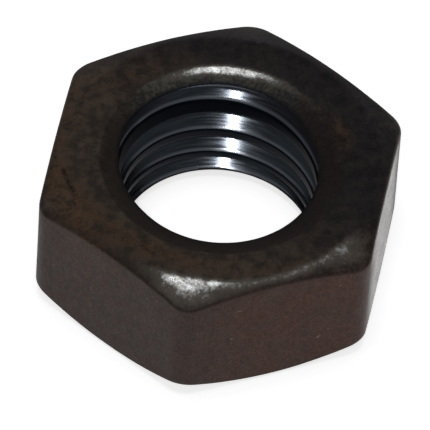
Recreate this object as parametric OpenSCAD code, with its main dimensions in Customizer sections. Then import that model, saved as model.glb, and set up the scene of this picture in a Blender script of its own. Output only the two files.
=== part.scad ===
// Hex jam nut, 1/2 in - 13 UNC, right-hand thread.
// One solid piece: a hexagonal body with soft upright corners, a slightly domed
// chamfer on both faces, a countersink at both mouths and a 60 degree thread.
// Frame: +Z is the thread axis, Z = 0 is the lower bearing face, and one
// corner of the hexagon points along +X.

/* [Body] */
// Width across the flats, mm
across_flats = 18.9; // [18.5:0.05:19.2]
// Height between the two bearing faces, mm
nut_h = 8.2; // [7.6:0.1:9]
// Radius of the six upright corners, mm
corner_r = 1.5; // [0.8:0.1:1.8]

/* [Chamfers] */
// Diameter of the flat ring left on the upper face, mm
top_ring_d = 17.6; // [17:0.1:18.2]
// Slope of the upper chamfer where it leaves the ring, degrees
top_chamfer = 21; // [18:0.5:26]
// Diameter of the flat ring left on the lower face, mm
bottom_ring_d = 18.4; // [17:0.1:18.4]
// Slope of the lower chamfer where it leaves the ring, degrees
bottom_chamfer = 27.5; // [18:0.5:30]

/* [Thread] */
// Major diameter of the thread, mm
thread_d = 12.7; // [12.7:0.05:12.8]
// Thread pitch, mm (13 threads to the inch)
pitch = 1.954; // [1.9:0.001:2]
// Diameter across the thread crests, mm
minor_d = 11; // [10.6:0.05:11]
// Azimuth at which the thread groove crosses the middle of the nut, degrees
start_angle = 291; // [0:1:359]

/* [Countersinks] */
// Mouth diameter of the upper countersink, mm
top_sink_d = 13.9; // [13.4:0.1:14.4]
// Mouth diameter of the lower countersink, mm
bottom_sink_d = 13; // [12.8:0.1:14.4]
// Slope of the countersink wall, measured from the face, degrees
sink_slope = 30; // [28:1:38]

/* [Hidden] */

// Depth at which a countersink of mouth diameter d meets the crests
function sink_h(d) = (d - minor_d)/2*tan(sink_slope);

// Steps of the helix in one turn
turn_steps = 64;
// The groove profile carries on this far inside the crests, so it cuts them clean
over_r = 0.22;
// Axial width of the groove at radius r: a flat of pitch/8 at the root, flanks at 30 degrees
function groove_w(r) = pitch/8 + 2*(thread_d/2 - r)*tan(30);
groove_in = minor_d/2 - over_r;
groove = [
    [groove_in, -groove_w(groove_in)/2],
    [thread_d/2, -pitch/16],
    [thread_d/2, pitch/16],
    [groove_in, groove_w(groove_in)/2]
];
// The groove starts a little more than a pitch below the nut and ends the same way above it
groove_steps = ceil((nut_h/pitch + 2.4)*turn_steps);
groove_z0 = nut_h/2 - pitch*groove_steps/turn_steps/2;
groove_a0 = start_angle - 180*groove_steps/turn_steps;
groove_pts = [
    for (i = [0:groove_steps], q = groove)
        let (a = groove_a0 + 360*i/turn_steps)
        [q[0]*cos(a), q[0]*sin(a), groove_z0 + pitch*i/turn_steps + q[1]]
];
groove_faces = concat(
    [[3, 2, 1, 0]],
    [
        for (i = [0:groove_steps - 1], j = [0:3])
            let (a = 4*i + j, b = 4*i + (j + 1)%4)
            each [[a, b + 4, a + 4], [a, b, b + 4]]
    ],
    [[4*groove_steps, 4*groove_steps + 1, 4*groove_steps + 2, 4*groove_steps + 3]]
);

// Hexagonal bar: a smaller hexagon grown outwards, which rounds the upright corners
module rounded_bar() {
    linear_extrude(height = nut_h)
    offset(r = corner_r, $fn = 120)
    circle(r = (across_flats/2 - corner_r)/cos(30), $fn = 6);
}

// Ball that the slightly domed chamfer of one face lies on: it meets that face
// along the ring at the given slope
module chamfer_ball(ring_d, slope) {
    ball_r = ring_d/2/sin(slope);
    translate([0, 0, -ball_r*cos(slope)]) sphere(r = ball_r, $fn = 240);
}

// Cone that opens one mouth of the bore to diameter d
module mouth_cone(d) {
    over = 0.6;
    rotate_extrude($fn = 120)
        polygon([
            [0, -sink_h(d) - 0.4],
            [minor_d/2 - 0.4/tan(sink_slope), -sink_h(d) - 0.4],
            [d/2 + over/tan(sink_slope), over],
            [0, over]
        ]);
}

// Tap drill bore plus the helical groove of the thread
module threaded_bore() {
    translate([0, 0, -1]) cylinder(d = minor_d, h = nut_h + 2, $fn = 120);
    polyhedron(points = groove_pts, faces = groove_faces, convexity = 10);
}

module hex_nut() {
    color("#4a4340")
    difference() {
        intersection() {
            rounded_bar();
            translate([0, 0, nut_h]) chamfer_ball(top_ring_d, top_chamfer);
            mirror([0, 0, 1]) chamfer_ball(bottom_ring_d, bottom_chamfer);
        }
        threaded_bore();
        translate([0, 0, nut_h]) mouth_cone(top_sink_d);
        mirror([0, 0, 1]) mouth_cone(bottom_sink_d);
    }
}

hex_nut();
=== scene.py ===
import bpy, math
import numpy as np
from mathutils import Matrix, Vector


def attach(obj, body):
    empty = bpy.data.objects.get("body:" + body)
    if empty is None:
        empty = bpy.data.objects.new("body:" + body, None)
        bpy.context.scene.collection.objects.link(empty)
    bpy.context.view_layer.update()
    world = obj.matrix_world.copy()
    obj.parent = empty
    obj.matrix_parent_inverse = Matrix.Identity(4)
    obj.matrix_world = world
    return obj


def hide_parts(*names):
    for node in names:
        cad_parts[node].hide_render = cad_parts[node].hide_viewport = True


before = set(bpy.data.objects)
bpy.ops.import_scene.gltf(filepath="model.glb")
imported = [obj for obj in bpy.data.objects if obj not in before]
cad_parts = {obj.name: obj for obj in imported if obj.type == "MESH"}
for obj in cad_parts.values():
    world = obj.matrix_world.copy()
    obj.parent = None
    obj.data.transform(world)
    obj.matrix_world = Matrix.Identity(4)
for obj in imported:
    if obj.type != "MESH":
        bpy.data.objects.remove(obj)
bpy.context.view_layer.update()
MM = 0.001
tan, sin, cos, rad = math.tan, math.sin, math.cos, math.radians

# ------------------------------------------------------------------ sizes, mm
FLATS, HEIGHT, CORNER_R = 18.9, 8.2, 1.5
TOP_RING, TOP_SLOPE = 17.6, 21.0
LOW_RING, LOW_SLOPE = 18.4, 27.5
MAJOR, MINOR, PITCH, START = 12.7, 11.0, 1.954, 291.0
SINK_TOP, SINK_LOW, SINK_SLOPE = 13.9, 13.0, 30.0

COLS = 540            # columns round the axis
OUTER = 112           # points on the outside of one section
TURN_ROWS = 19        # rows in one pitch of the thread
# the lower rim, where the lower countersink meets the crests; the thread's rows end there
Z_LO = (SINK_LOW - MINOR) / 2 * tan(rad(SINK_SLOPE))
# the upper rim, where the thread's rows start: the first turn breaks out through the countersink,
# so its radius changes with the heading (degrees, mm)
RIM = ((0, 5.49), (9, 5.5), (15, 5.575), (20, 5.63), (26, 5.68), (32, 5.72), (41, 5.77), (51, 5.81), (60, 5.86), (70, 5.90),
       (95, 5.92), (120, 5.93), (140, 5.88), (160, 5.76), (180, 5.60), (200, 5.47), (345, 5.47), (360, 5.49))


def smax(a, b, k):
    """The larger of two fields, blended where they are within k of each other."""
    h = np.clip(1 - np.abs(a - b) / k, 0, 1)
    return np.maximum(a, b) + h * h * k * 0.25


# ---------------------------------------------------------------- value noise
def _hash(ix, iy, iz, seed):
    n = (ix * 73856093) ^ (iy * 19349663) ^ (iz * 83492791) ^ (seed * 2654435761)
    n = (n ^ (n >> 13)) * 1274126177
    n = n ^ (n >> 16)
    return (n & 0xFFFFF) / float(0xFFFFF) * 2 - 1


def noise(p, scale, seed=1, octaves=1):
    """Smooth value noise in -1..1 at points p (mm), with features about scale mm across."""
    out, amp, tot = np.zeros(len(p)), 1.0, 0.0
    for o in range(octaves):
        q = p / (scale / 2 ** o) + 101.7 * (o + seed)
        i = np.floor(q).astype(np.int64)
        f = q - i
        f = f * f * f * (f * (f * 6 - 15) + 10)
        s = np.zeros(len(p))
        for dx in (0, 1):
            wx = f[:, 0] if dx else 1 - f[:, 0]
            for dy in (0, 1):
                wy = f[:, 1] if dy else 1 - f[:, 1]
                for dz in (0, 1):
                    wz = f[:, 2] if dz else 1 - f[:, 2]
                    s += wx * wy * wz * _hash(i[:, 0] + dx, i[:, 1] + dy, i[:, 2] + dz, seed + 17 * o)
        out += amp * s
        tot += amp
        amp *= 0.5
    return out / tot


# ------------------------------------------------------------- the nut's shape
def side_field(x, y):
    """Distance outside a hexagon with round corners, one corner on +X."""
    a = FLATS / 2 - CORNER_R
    s = [np.abs(x * cos(rad(t)) + y * sin(rad(t))) - a for t in (30, 90, 150)]
    flat = np.maximum(np.maximum(s[0], s[1]), s[2])
    th = np.arctan2(y, x)
    near = np.round(th / rad(60)) * rad(60)
    reach = a / cos(rad(30))
    post = np.hypot(x - reach * np.cos(near), y - reach * np.sin(near))
    r = np.hypot(x, y)
    along = r * np.cos(np.abs(th - near)) - reach
    across = r * np.sin(np.abs(th - near))
    corner = (along > 0) & (across < along * tan(rad(30)))
    return np.where(corner, post, flat) - CORNER_R


R_TOP = TOP_RING / 2 / sin(rad(TOP_SLOPE))
R_LOW = LOW_RING / 2 / sin(rad(LOW_SLOPE))
ZC_TOP = HEIGHT - R_TOP * cos(rad(TOP_SLOPE))
ZC_LOW = R_LOW * cos(rad(LOW_SLOPE))


def fields(r, th, z):
    """Side, top face, top chamfer, top sink, bottom face, bottom chamfer and bottom sink, each negative inside."""
    s, c = sin(rad(SINK_SLOPE)), cos(rad(SINK_SLOPE))
    return (side_field(r * np.cos(th), r * np.sin(th)),
            z - HEIGHT, np.hypot(r, z - ZC_TOP) - R_TOP, s * (SINK_TOP / 2 - r) + c * (z - HEIGHT),
            -z, np.hypot(r, z - ZC_LOW) - R_LOW, s * (SINK_LOW / 2 - r) - c * z)


def outer_field(r, th, z):
    side, top, topch, sink_t, low, lowch, sink_b = fields(r, th, z)
    upper = smax(smax(top, topch, 0.12), sink_t, 0.42)
    lower = smax(smax(low, lowch, 0.10), sink_b, 0.22)
    return smax(smax(side, upper, 0.17), lower, 0.12)


def rim_r(th):
    """Radius of the upper rim at heading th."""
    d = np.degrees(th) % 360
    grid = np.linspace(0, 360, 721)
    vals = np.interp(grid, *np.array(RIM).T)
    k = np.hanning(17)
    vals = np.convolve(np.concatenate([vals[-9:-1], vals, vals[1:9]]), k / k.sum(), "valid")
    return np.interp(d, grid, vals)


def rim_z(th):
    return HEIGHT - (SINK_TOP / 2 - rim_r(th)) * tan(rad(SINK_SLOPE))


# thread section over one pitch, u measured from the middle of the groove; the crests' edges are
# rounded off, so the flanks look a little steeper and the crests narrower than in the CAD
_u = np.linspace(-PITCH / 2, PITCH / 2, 4001)
_r = np.clip(MAJOR / 2 - (np.abs(_u) - 0.10) / 0.8, MINOR / 2, MAJOR / 2)
_w = int(0.07 / (_u[1] - _u[0]))
_k = np.hanning(2 * _w + 1)
_r = np.convolve(np.concatenate([_r[-_w - 1:-1], _r, _r[1:_w + 1]]), _k / _k.sum(), "valid")


def along_pitch(th, z):
    """Height above the middle of the nearest turn of the groove."""
    u = (z - HEIGHT / 2) - PITCH * (th - rad(START)) / (2 * math.pi)
    return (u + PITCH / 2) % PITCH - PITCH / 2


def far_side(th):
    return np.exp(-(((np.degrees(th) - 95 + 180) % 360 - 180) / 85) ** 6)


def mouth(th, z):
    """How much wider the crests are towards the upper rim."""
    return 0.20 * far_side(th) * np.clip((z - 5.64) / 0.75, 0, 1.3)


def bore_r(th, z):
    """Radius of the threaded wall; the groove closes up at the lower rim and stops at the upper one."""
    u = along_pitch(th, z)
    # the highest turn is worn: its flanks sit a little higher, so the crest below it is broader
    lead_in = np.clip((z - u - 5.9) / 0.5, 0, 1)
    shift = lead_in * (0.20 + 0.18 * far_side(th) * np.clip((u - 0.1) / 0.2, 0, 1)) * np.where(u > 0, far_side(th), 1)
    # the crest half way down is broader as well
    shift = shift - 0.22 * np.exp(-((z - u - 2.9) / 0.8) ** 2) * np.clip(u / 0.15, 0, 1)
    r = np.interp(u - shift, _u, _r)
    r = np.maximum(r, MINOR / 2 + mouth(th, z))
    rim, top = rim_r(th), rim_z(th)
    wall = rim - (rim - MINOR / 2) * np.clip((top - 0.75 - z) / 0.15, 0, 1)
    r = np.where(u > 0, np.maximum(r, wall), r)
    r = -smax(-r, -(rim + (top - z) / tan(rad(30))), 0.05)
    r = -smax(-r, -(MINOR / 2 + (z - Z_LO) / 0.8), 0.12)
    return np.maximum(r, np.minimum(rim, MINOR / 2))


def even(points, n, bend=1.6):
    """Resamples each section curve in a (columns, samples, 2) set to n points, closer together on the bends."""
    out = np.empty((len(points), n, 2))
    for i, c in enumerate(points):
        d = np.diff(c, axis=0)
        ds = np.hypot(*d.T)
        turn = np.abs(np.gradient(np.unwrap(np.arctan2(d[:, 1], d[:, 0]))))
        w = ds / ds.sum() + bend * turn / max(turn.sum(), 1e-9)
        g = np.concatenate([[0], np.cumsum(w)])
        g /= g[-1]
        t = np.linspace(0, 1, n)
        out[i, :, 0] = np.interp(t, g, c[:, 0])
        out[i, :, 1] = np.interp(t, g, c[:, 1])
    return out


def build_sections():
    th = np.arange(COLS) * 2 * math.pi / COLS
    # the two rings where the outside meets the bore surface
    hi = np.stack([rim_r(th), rim_z(th)], 1)
    lo = np.stack([np.full(COLS, MINOR / 2), np.full(COLS, Z_LO)], 1)
    core = np.array([8.3, HEIGHT / 2])
    a_hi = np.arctan2(hi[:, 1] - core[1], hi[:, 0] - core[0])
    a_lo = np.arctan2(lo[:, 1] - core[1], lo[:, 0] - core[0])
    n = 900
    f = np.linspace(0, 1, n)
    ang = a_hi[:, None] + (a_lo - a_hi)[:, None] * f[None, :]      # from the top mouth, over the outside, to the lower mouth
    T = np.repeat(th[:, None], n, 1)
    near, far = np.zeros_like(ang), np.full_like(ang, 9.0)
    for _ in range(30):
        mid = (near + far) / 2
        inside = outer_field(core[0] + mid * np.cos(ang), T, core[1] + mid * np.sin(ang)) < 0
        near, far = np.where(inside, mid, near), np.where(inside, far, mid)
    mid = (near + far) / 2
    pts = np.stack([core[0] + mid * np.cos(ang), core[1] + mid * np.sin(ang)], 2)
    pts[:, 0], pts[:, -1] = hi, lo
    outer = even(pts, OUTER, 1.3)
    outer[:, 0], outer[:, -1] = hi, lo
    return th, outer, hi, lo


def thread_rows():
    """Offsets of the rows in one pitch, closer together where the section bends."""
    return even(np.stack([_u, _r], 1)[None], TURN_ROWS + 1, bend=1.3)[0][:-1, 0]


def build_mesh():
    th, outer, hi, lo = build_sections()
    verts = []
    ids_out = np.arange(OUTER * COLS).reshape(OUTER, COLS)
    for j in range(OUTER):
        verts.extend(np.stack([outer[:, j, 0] * np.cos(th), outer[:, j, 0] * np.sin(th), outer[:, j, 1]], 1).tolist())
    top_ring, low_ring = ids_out[0], ids_out[-1]
    # bore: rows that follow the helix
    rows = thread_rows()
    # how far each row moves up where the highest turn's flanks sit higher
    raised = 0.20 * np.minimum(np.clip((rows + PITCH / 2) / 0.25, 0, 1), np.clip((PITCH / 2 - rows) / 0.38, 0, 1))
    j0 = -int(math.ceil((HEIGHT / PITCH / 2 + 1.6))) * TURN_ROWS
    j1 = -j0 + TURN_ROWS
    ids, new, eps, z_top = {}, [], 0.012, hi[:, 1]

    def vert(i, j):
        """Vertex of column i (0..COLS) and helical row j."""
        if i == COLS:
            return vert(0, j + TURN_ROWS)
        if (i, j) in ids:
            return ids[i, j]
        k, m = divmod(j, TURN_ROWS)
        a = i * 2 * math.pi / COLS
        mid_z = HEIGHT / 2 + PITCH * ((a - rad(START)) / (2 * math.pi) + k)
        z = mid_z + rows[m] + raised[m] * min(max((mid_z - 5.9) / 0.5, 0), 1)
        if z <= Z_LO + eps:
            v = low_ring[i]
        elif z >= z_top[i] - eps:
            v = top_ring[i]
        else:
            v = len(verts) + len(new)
            new.append((a, z))
        ids[i, j] = v
        return v

    faces = []
    for j in range(OUTER - 1):
        a, b = ids_out[j], ids_out[j + 1]
        faces.extend(np.stack([a, b, np.roll(b, -1), np.roll(a, -1)], 1).tolist())
    for i in range(COLS):
        for j in range(j0, j1):
            u = []
            for v in (vert(i, j), vert(i, j + 1), vert(i + 1, j + 1), vert(i + 1, j)):
                if v not in u:
                    u.append(v)
            if len(u) >= 3:
                faces.append(u)
    new = np.array(new)
    r = bore_r(new[:, 0], new[:, 1])
    verts.extend(np.stack([r * np.cos(new[:, 0]), r * np.sin(new[:, 0]), new[:, 1]], 1).tolist())
    return np.array(verts), faces, OUTER * COLS


co, faces, n_out = build_mesh()
r0, t0, z0 = np.hypot(co[:, 0], co[:, 1]), np.arctan2(co[:, 1], co[:, 0]), co[:, 2]
az = np.degrees(t0) % 360
F = np.stack(fields(r0, t0, z0))
share = np.exp(np.clip(F, -3, 0.3) / 0.07)
share /= share.sum(0)
side, top, topch, sink_t, low, lowch, sink_b = share
outside = np.zeros(len(co)); outside[:n_out] = 1
face_n = np.array([cos(rad(30)), sin(rad(30))])


def away(a, b):
    """Degrees between two headings."""
    return np.abs((a - b + 180) % 360 - 180)


to_corner = np.abs((az + 30) % 60 - 30)


def blob(a, r, z, wa, wr, wz=3.0):
    """A soft patch round heading a, radius r and height z; wa, wr, wz are its half widths in mm."""
    arc = rad(1) * ((az - a + 180) % 360 - 180) * r
    return np.exp(-(arc / wa) ** 2 - ((r0 - r) / wr) ** 2 - ((z0 - z) / wz) ** 2)


# ------------------------------------------- forging waviness, nicks and a gouge
lift = np.zeros(len(co))
lift += outside * (0.010 * noise(co, 3.2, 3, 2) + 0.004 * noise(co, 0.7, 5, 2))
rough_edge = np.clip(topch * np.exp(-(to_corner / 12) ** 2) + np.exp(-((r0 - 7.0) / 0.35) ** 2) * (top + sink_t) * 0.35, 0, 1)
lift += outside * rough_edge * 0.014 * noise(co, 0.42, 9, 2)


def scratch(points, width, depth):
    """A groove along straight runs between points (heading, radius) on the top face."""
    out = np.full(len(co), 9.0)
    P = [np.array([r * cos(rad(a)), r * sin(rad(a))]) for a, r in points]
    for p, q in zip(P[:-1], P[1:]):
        d = q - p
        k = np.clip(((co[:, :2] - p) @ d) / (d @ d), 0, 1)
        out = np.minimum(out, np.hypot(*(co[:, :2] - p - k[:, None] * d).T))
    return -depth * np.exp(-(out / width) ** 2) * np.clip((z0 - HEIGHT + 1.2) / 0.4, 0, 1) * outside


gouge = scratch([(168, 8.95), (173, 8.85), (178, 8.75), (181, 8.72)], 0.13, 0.06)
gouge += scratch([(181, 8.7), (188, 8.42), (196, 8.3), (203, 8.3)], 0.09, 0.022)
gouge += scratch([(186, 8.0), (193, 7.9), (201, 7.95), (208, 8.05)], 0.07, 0.014)
lift += gouge

bump_dir = np.zeros_like(co)
pick = np.argmax(F, 0)
rr = np.maximum(r0, 1e-6)
radial = np.stack([co[:, 0] / rr, co[:, 1] / rr, np.zeros(len(co))], 1)
near_flat = np.round((t0 - rad(30)) / rad(60)) * rad(60) + rad(30)
flat_dir = np.stack([np.cos(near_flat), np.sin(near_flat), np.zeros(len(co))], 1)
up = np.array([0, 0, 1.0])
s30, c30 = sin(rad(SINK_SLOPE)), cos(rad(SINK_SLOPE))
ball_t = np.stack([co[:, 0], co[:, 1], z0 - ZC_TOP], 1) / R_TOP
ball_b = np.stack([co[:, 0], co[:, 1], z0 - ZC_LOW], 1) / R_LOW
for wgt, d in ((side, flat_dir), (top, up), (topch, ball_t), (sink_t, -s30 * radial + c30 * up),
               (low, -up), (lowch, ball_b), (sink_b, -s30 * radial - c30 * up)):
    bump_dir += wgt[:, None] * d
bump_dir /= np.maximum(np.linalg.norm(bump_dir, axis=1), 1e-6)[:, None]
shaped = co + bump_dir * np.minimum(lift, 0.004)[:, None]
shaped[:, 2] = np.clip(shaped[:, 2], 0.0, HEIGHT)

me = bpy.data.meshes.new("hex_nut_visual")
me.from_pydata((shaped * MM).tolist(), [], faces)
me.update()
nut = bpy.data.objects.new("hex_nut_visual", me)
bpy.context.scene.collection.objects.link(nut)
me.polygons.foreach_set("use_smooth", [True] * len(me.polygons))
# both rims of the bore are sharp
ends = np.empty(2 * len(me.edges), dtype=np.int64)
me.edges.foreach_get("vertices", ends)
ends = ends.reshape(-1, 2)
on_rim = ((ends < COLS).all(1) | ((ends >= n_out - COLS) & (ends < n_out)).all(1))
me.attributes.new("sharp_edge", "BOOLEAN", "EDGE").data.foreach_set("value", on_rim)


def attribute(name, values):
    a = me.attributes.new(name, "FLOAT", "POINT")
    a.data.foreach_set("value", np.ascontiguousarray(np.clip(values, 0, 1), dtype=np.float32))


ring_e = np.exp(-((r0 - 9.0) / 0.30) ** 2)
near_e = np.exp(-(away(az, 238) / 15) ** 2)
# wear and painted highlight: real wear at all corners and on the lower chamfer, plus extra at the near corner (heading
# 238), along the front chamfer ring (262), on the right-hand crease (38) and at the back of the countersink lip (68),
# which is painted highlight
wear_and_highlight = np.clip(topch * (0.64 * near_e * np.exp(-((r0 - 9.4) / 0.85) ** 2)
                        + 0.82 * ring_e * np.exp(-(away(az, 262) / 38) ** 4)
                        + 0.20 * np.exp(-(to_corner / 8) ** 2))
               + 0.36 * blob(297, 9.5, 7.9, 2.2, 0.6) * topch
               + (top + sink_t) * np.exp(-(np.where(r0 > 6.71, r0 - 6.71, (6.71 - r0) / 1.8) / 0.22) ** 2) * (0.12 + 1.10 * np.exp(-(away(az, 68) / 29) ** 2))
               + 0.75 * np.clip(4 * side * topch, 0, 1) * np.exp(-(away(az, 38) / 46) ** 6)
               + 0.45 * lowch * np.exp(-(to_corner / 10) ** 2) + 0.3 * lowch * side * 4, 0, 1)
rust = np.clip(blob(176, 9.3, 8.2, 2.0, 0.7) + blob(192, 8.9, 8.0, 2.6, 0.8) + 0.6 * blob(209, 8.0, 8.2, 2.2, 0.5)
               + 0.65 * blob(228, 7.7, 8.2, 2.8, 0.6) + 0.6 * blob(148, 9.6, 7.6, 3.0, 0.9) + 0.6 * blob(124, 9.6, 7.8, 2.0, 0.8)
               + 0.55 * blob(358, 7.1, 8.0, 1.4, 0.35) + 0.5 * blob(300, 9.9, 7.6, 1.6, 0.6) + 0.35 * blob(268, 8.6, 8.0, 3.0, 0.5)
               + 0.4 * blob(112, 7.6, 8.2, 2.2, 0.6), 0, 1)
warm = 0.5 - 0.5 * np.cos(rad(1) * (az - 15))           # 0 towards heading 15, 1 towards 195
# painted shade: the creases between the flats and the chamfers, and the outer top chamfer away from the near corner,
# are darkened
crease_shade = np.clip(4 * side * (topch + lowch), 0, 1) + 0.6 * np.clip(topch - side, 0, 1) * np.clip((r0 - 9.15) / 0.5, 0, 1) * (1 - near_e)
attribute("crease_shade", np.clip(crease_shade, 0, 1) * outside)
# far side of the upper countersink, which is painted lighter below
attribute("far", np.exp(-(away(az, 78) / 44) ** 4) * (z0 > HEIGHT / 2))
edge = np.hypot(r0 - rim_r(t0), z0 - rim_z(t0))
# painted shade: a dark line along the upper rim, strongest at the back
attribute("rim", np.exp(-(edge / 0.085) ** 2) * (0.4 + 0.6 * np.exp(-(away(az, 82) / 60) ** 4)))
attribute("back", np.exp(-(away(az, 82) / 58) ** 4))
attribute("redder", np.exp(-(away(az, 280) / 34) ** 4))
# the right-hand flat (heading 330) is glossier and painted lighter, a painted reflection of the bright floor
attribute("gloss_and_sheen", np.exp(-(away(az, 330) / 24) ** 6) * np.clip(5 * side, 0, 1) * outside)
attribute("side", side * outside)
attribute("bore", 1 - outside)
attribute("mouth", mouth(t0, z0) / 0.30)
pitch_u = along_pitch(t0, z0)
attribute("lower_flank", np.where(pitch_u < 0, 1.0, 0.0))
# the highest turn of the thread is darker and purple, except round heading 80
attribute("dark_top_turn", (1 - outside) * np.clip((z0 - pitch_u - 6.0) / 0.4, 0, 1) * (1 - np.exp(-(away(az, 80) / 34) ** 2)))
# the top chamfer round heading 212 is darker
attribute("darker_chamfer", outside * topch * np.exp(-(away(az, 212) / 18) ** 4))
attribute("chamfer", (topch + lowch) * outside)
attribute("sink", sink_t + sink_b)
attribute("wear_and_highlight", wear_and_highlight * outside)
attribute("rust", rust * outside)
attribute("warm", warm)
attribute("cut", np.clip(-gouge / 0.05, 0, 1))


# ------------------------------------------------------------------- material
class Nodes:
    """Short names for making shader nodes."""

    def __init__(self, tree):
        self.t = tree
        tree.nodes.clear()

    def put(self, socket, v):
        if isinstance(v, bpy.types.NodeSocket):
            self.t.links.new(v, socket)
        elif v is not None:
            socket.default_value = v

    def new(self, kind, inputs=None, out=0, **props):
        n = self.t.nodes.new(kind)
        for k, v in props.items():
            setattr(n, k, v)
        for k, v in (inputs or {}).items():
            self.put(n.inputs[k], v)
        return n if out is None else n.outputs[out]

    def math(self, op, a, b=None, c=None, clamp=False):
        n = self.t.nodes.new("ShaderNodeMath")
        n.operation, n.use_clamp = op, clamp
        for s, v in zip(n.inputs, (a, b, c)):
            self.put(s, v)
        return n.outputs[0]

    def add(self, a, b): return self.math("ADD", a, b)
    def sub(self, a, b): return self.math("SUBTRACT", a, b)
    def mul(self, a, b): return self.math("MULTIPLY", a, b)

    def step(self, v, lo, hi, a=0.0, b=1.0):
        n = self.t.nodes.new("ShaderNodeMapRange")
        n.interpolation_type = "SMOOTHSTEP"
        for s, x in zip(n.inputs, (v, lo, hi, a, b)):
            self.put(s, x)
        return n.outputs[0]

    def mix(self, f, a, b, blend="MIX"):
        n = self.t.nodes.new("ShaderNodeMix")
        n.data_type, n.blend_type = "RGBA", blend
        self.put(n.inputs[0], f)
        self.put(n.inputs[6], a if isinstance(a, bpy.types.NodeSocket) else (*a, 1))
        self.put(n.inputs[7], b if isinstance(b, bpy.types.NodeSocket) else (*b, 1))
        return n.outputs[2]

    def attr(self, name):
        return self.new("ShaderNodeAttribute", attribute_name=name, out=2)

    def noise(self, vec, scale, detail=4.0, rough=0.55, warp=0.0, offset=(0, 0, 0)):
        v = self.new("ShaderNodeVectorMath", {0: vec, 1: offset}, operation="ADD")
        return self.new("ShaderNodeTexNoise", {"Vector": v, "Scale": scale, "Detail": detail, "Roughness": rough, "Distortion": warp}, out=0)


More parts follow.
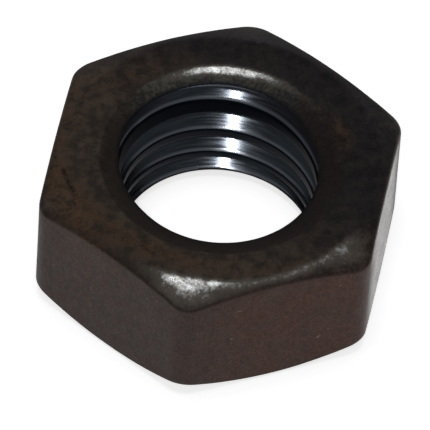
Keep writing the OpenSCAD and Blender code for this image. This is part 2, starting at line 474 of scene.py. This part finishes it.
def steel():
    m = bpy.data.materials.new("blackened_steel")
    m.use_nodes = True
    N = Nodes(m.node_tree)
    obj = N.new("ShaderNodeTexCoord", out=3)
    P = N.new("ShaderNodeVectorMath", {0: obj, 3: 1000.0}, operation="SCALE")
    xyz = N.new("ShaderNodeSeparateXYZ", {0: P}, out=None)
    x, y, z = xyz.outputs
    r = N.math("SQRT", N.add(N.mul(x, x), N.mul(y, y)))
    a = N.math("ARCTAN2", y, x)
    side_, cham, wear_and_highlight_, rust_, warm_, cut = (N.attr(k) for k in ("side", "chamfer", "wear_and_highlight", "rust", "warm", "cut"))
    crease_shade_, far_, redder, gloss_and_sheen, rim_shade = (N.attr(k) for k in ("crease_shade", "far", "redder", "gloss_and_sheen", "rim"))

    # the threaded wall, the upper countersink and the crests; the crests are painted nearly black, painted shade
    cone_line = N.sub(HEIGHT, N.mul(N.sub(SINK_TOP / 2, r), tan(rad(SINK_SLOPE))))
    bore = N.step(N.attr("bore"), 0.25, 0.75)
    sink_ = N.mul(N.step(r, 6.95, 6.75), N.sub(1.0, bore))
    # painted shade: a band just under the upper rim at the back
    under_rim_shade = N.mul(N.attr("back"), N.step(N.sub(cone_line, z), 0.34, 0.22))
    lower = N.step(N.attr("lower_flank"), 0.4, 0.6)
    deep = N.sub(N.sub(r, N.mul(N.attr("mouth"), 0.30)), MINOR / 2)
    crest_shade = N.math("MAXIMUM", N.mul(bore, N.math("MAXIMUM", under_rim_shade, N.step(N.sub(deep, N.mul(N.sub(1.0, lower), 0.08)), 0.09, 0.04))), rim_shade)
    # painted highlight: a light line on the lower flanks close to the crests
    crest_edge_highlight = N.mul(N.step(deep, 0.05, 0.10), N.step(deep, 0.24, 0.13))

    # patterns, in mm
    big = N.noise(P, 0.42, 5, 0.6, 0.4)
    mid = N.noise(P, 1.5, 5, 0.6, 0.3, (7, 3, 1))
    fine = N.noise(P, 5.5, 3, 0.6, 0.0, (2, 9, 4))
    grain = N.noise(P, 14.0, 2, 0.6, 0.0, (5, 5, 8))
    long_ = N.new("ShaderNodeVectorMath", {0: P, 1: (1.0, 1.0, 0.28)}, operation="MULTIPLY")
    drawn = N.noise(long_, 3.4, 4, 0.6, 0.2, (3, 8, 2))

    # oxide on the faces
    top_c = N.mix(N.step(mid, 0.35, 0.65), (0.034, 0.0265, 0.0215), (0.081, 0.058, 0.0435))
    top_c = N.mix(N.step(fine, 0.38, 0.66, 0.0, 0.55), top_c, (0.018, 0.017, 0.015))
    cool_c = N.mix(N.step(mid, 0.35, 0.65), (0.0125, 0.011, 0.0115), (0.023, 0.0185, 0.019))
    top_c = N.mix(N.step(N.add(warm_, N.mul(N.sub(big, 0.5), 0.9)), 0.10, 0.85), cool_c, top_c)
    side_c = N.mix(N.step(drawn, 0.36, 0.64), (0.043, 0.0235, 0.0200), (0.026, 0.0205, 0.0175))
    red_c = N.mix(N.step(drawn, 0.36, 0.64), (0.058, 0.0225, 0.0145), (0.046, 0.021, 0.0145))
    side_c = N.mix(redder, side_c, red_c)
    side_c = N.mix(N.step(big, 0.35, 0.65, 0.0, 0.5), side_c, (0.037, 0.0235, 0.0205))
    side_c = N.mix(N.step(grain, 0.45, 0.75, 0.0, 0.5), side_c, (0.070, 0.050, 0.042))
    side_c = N.mix(N.step(N.noise(P, 2.2, 2, 0.5, 0.0, (9, 1, 6)), 0.71, 0.78), side_c, (0.10, 0.085, 0.075))
    # painted reflection: the right-hand flat is painted much lighter
    side_c = N.mix(gloss_and_sheen, side_c, (0.20, 0.18, 0.17))
    oxide = N.mix(side_, top_c, side_c)
    # painted light on the upper countersink: olive on the far side, a painted sheen of the lamp's blurred highlight,
    # and nearly black on the near side, painted shade
    olive_sheen = N.mix(N.step(N.add(N.mul(mid, 0.5), N.mul(fine, 0.5)), 0.40, 0.60), (0.036, 0.033, 0.029), (0.076, 0.077, 0.064))
    oxide = N.mix(N.mul(sink_, 0.80), oxide, N.mix(far_, (0.018, 0.0135, 0.012), olive_sheen))
    # painted shade along the creases
    oxide = N.mix(N.mul(crease_shade_, 0.6), oxide, (0.014, 0.009, 0.007))
    # rust
    rusty = N.mul(rust_, N.step(N.add(N.mul(mid, 0.6), N.mul(fine, 0.4)), 0.34, 0.60))
    oxide = N.mix(N.mul(rusty, 0.75), oxide, (0.085, 0.044, 0.022))
    oxide = N.mix(N.mul(cut, N.step(fine, 0.4, 0.6)), oxide, (0.008, 0.007, 0.006))

    # the oxide goes grey where it is rubbed thin, and bare metal shows where the wear is strongest; the mask is
    # heaviest where the lamps' highlights fall, so the grey and the bare steel there are partly a painted highlight
    thin_and_sheen = N.step(N.add(wear_and_highlight_, N.add(N.mul(N.sub(mid, 0.5), 0.45), N.mul(N.sub(fine, 0.5), 0.25))), 0.08, 0.70, 0.0, 0.85)
    tone = N.step(N.add(N.mul(fine, 0.65), N.mul(grain, 0.35)), 0.38, 0.62, 0.80, 1.22)
    oxide = N.mix(1.0, oxide, tone, "MULTIPLY")
    oxide = N.mix(thin_and_sheen, oxide, (0.104, 0.092, 0.079))
    # darker top chamfer round heading 212
    oxide = N.mix(N.mul(N.attr("darker_chamfer"), 0.5), oxide, (0.014, 0.009, 0.007))
    speck = N.add(N.mul(fine, 0.80), N.mul(grain, 0.20))
    bare_and_highlight = N.step(N.add(N.mul(wear_and_highlight_, 0.55), N.add(N.mul(mid, 0.45), N.mul(speck, 0.55))), 0.80, 1.14, 0.0, 0.84)
    steel_c = N.mix(N.step(fine, 0.4, 0.6), (0.84, 0.82, 0.78), (0.62, 0.65, 0.66))

    # thread
    turns = N.sub(z, N.mul(a, PITCH / (2 * math.pi)))
    lines = N.new("ShaderNodeCombineXYZ", {0: N.mul(r, 1.0), 1: turns, 2: N.mul(a, 0.35)})
    line = N.noise(lines, 9.0, 3, 0.6, 0.0, (1, 1, 1))
    thread_c = N.mix(N.step(line, 0.35, 0.65), (0.088, 0.100, 0.118), (0.140, 0.156, 0.180))
    # darker, purple highest turn
    thread_c = N.mix(N.mul(N.attr("dark_top_turn"), 0.75), thread_c, (0.034, 0.028, 0.036))
    # painted highlight line on the lower flanks
    thread_c = N.mix(N.mul(N.mul(crest_edge_highlight, lower), N.sub(1.0, N.mul(N.attr("dark_top_turn"), 0.45))), thread_c, (0.36, 0.39, 0.44))
    # painted shade: the crests and the rim are nearly black metal
    crest_shade_c = (0.006, 0.009, 0.014)

    color = N.mix(bare_and_highlight, oxide, steel_c)
    color = N.mix(crest_shade, N.mix(bore, color, thread_c), crest_shade_c)
    metal = N.math("MAXIMUM", N.add(N.mul(bare_and_highlight, N.sub(1.0, bore)), bore), crest_shade)
    rough = N.step(mid, 0.3, 0.7, 0.48, 0.60)
    rough = N.sub(rough, N.mul(gloss_and_sheen, 0.26))
    rough = N.add(N.mul(rough, N.sub(1.0, bare_and_highlight)), N.mul(bare_and_highlight, 0.32))
    rough = N.add(N.mul(rough, N.sub(1.0, bore)), N.mul(bore, N.step(line, 0.3, 0.7, 0.13, 0.23)))
    rough = N.add(N.mul(rough, N.sub(1.0, crest_shade)), N.mul(crest_shade, 0.62))

    # bump, in mm
    h = N.add(N.mul(mid, 0.020), N.add(N.mul(fine, 0.008), N.mul(grain, 0.003)))
    h = N.add(h, N.mul(N.mul(wear_and_highlight_, fine), 0.02))
    h = N.add(N.mul(h, N.sub(1.0, bore)), N.mul(bore, N.mul(line, 0.004)))
    bump = N.new("ShaderNodeBump", {"Strength": 1.0, "Distance": 0.001, "Height": h}, out=0)
    shader = N.new("ShaderNodeBsdfPrincipled", {"Base Color": color, "Metallic": metal, "Roughness": rough, "Normal": bump,
                                                 "Specular IOR Level": 0.10, "Specular Tint": (1.0, 0.96, 0.95, 1)})
    N.new("ShaderNodeOutputMaterial", {0: shader}, out=None)
    return m


me.materials.append(steel())

# ------------------------------------------------------- floor, light, camera
scene = bpy.context.scene
scene.view_settings.view_transform = "Standard"

fl = bpy.data.meshes.new("floor")
fl.from_pydata([(x, y, -0.00002) for x, y in ((-6, -6), (6, -6), (6, 6), (-6, 6))], [], [(0, 1, 2, 3)])
floor = bpy.data.objects.new("floor", fl)
scene.collection.objects.link(floor)
fm = bpy.data.materials.new("pale_floor"); fm.use_nodes = True
N = Nodes(fm.node_tree)
N.new("ShaderNodeOutputMaterial", {0: N.new("ShaderNodeBsdfPrincipled", {
    "Base Color": (0.82, 0.82, 0.82, 1), "Roughness": 0.9, "Specular IOR Level": 0.1,
    "Emission Color": (1, 1, 1, 1), "Emission Strength": 0.66})}, out=None)
fl.materials.append(fm)

world = bpy.data.worlds.new("studio"); scene.world = world
world.use_nodes = True
N = Nodes(world.node_tree)
dz = N.new("ShaderNodeSeparateXYZ", {0: N.new("ShaderNodeTexCoord", out=0)}, out=2)
level = N.step(dz, 0.0, 0.22, 0.85, 0.12)
N.new("ShaderNodeOutputWorld", {0: N.new("ShaderNodeBackground", {0: (0.94, 0.97, 1.0, 1), 1: level})}, out=None)


def lamp(name, direction, dist, across, radiance, colour=(1, 1, 1)):
    """A round soft light far enough away to be a patch of the ceiling; radiance is how bright its face looks."""
    L = bpy.data.lights.new(name, "AREA")
    L.shape, L.size = "DISK", across
    L.color = colour
    L.energy = radiance * math.pi * math.pi * (across / 2) ** 2
    o = bpy.data.objects.new(name, L)
    v = Vector(direction).normalized()
    o.location = v * dist
    o.rotation_euler = v.to_track_quat("Z", "Y").to_euler()
    o.visible_camera = False
    scene.collection.objects.link(o)
    return o


lamp("overhead", (-0.04, 0.0, 1.0), 1.6, 0.76, 4.6)
lamp("key", (-0.2629, -0.5553, 0.7916), 1.6, 0.10, 165.0)

cam = bpy.data.cameras.new("camera")
cam.sensor_width, cam.lens = 36.0, 760.5
cam.clip_start, cam.clip_end = 0.01, 50
co_ = bpy.data.objects.new("camera", cam)
right, upv, back = Vector((0.94322, -0.32919, 0.04431)), Vector((0.22700, 0.73624, 0.63753)), Vector((-0.24249, -0.59127, 0.76915))
M = Matrix((right, upv, back)).transposed().to_4x4()
M.translation = Vector((-124.531, -303.242, 397.690)) * MM
co_.matrix_world = M
scene.collection.objects.link(co_)
scene.camera = co_

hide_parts("hex_nut")
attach(nut, "root")
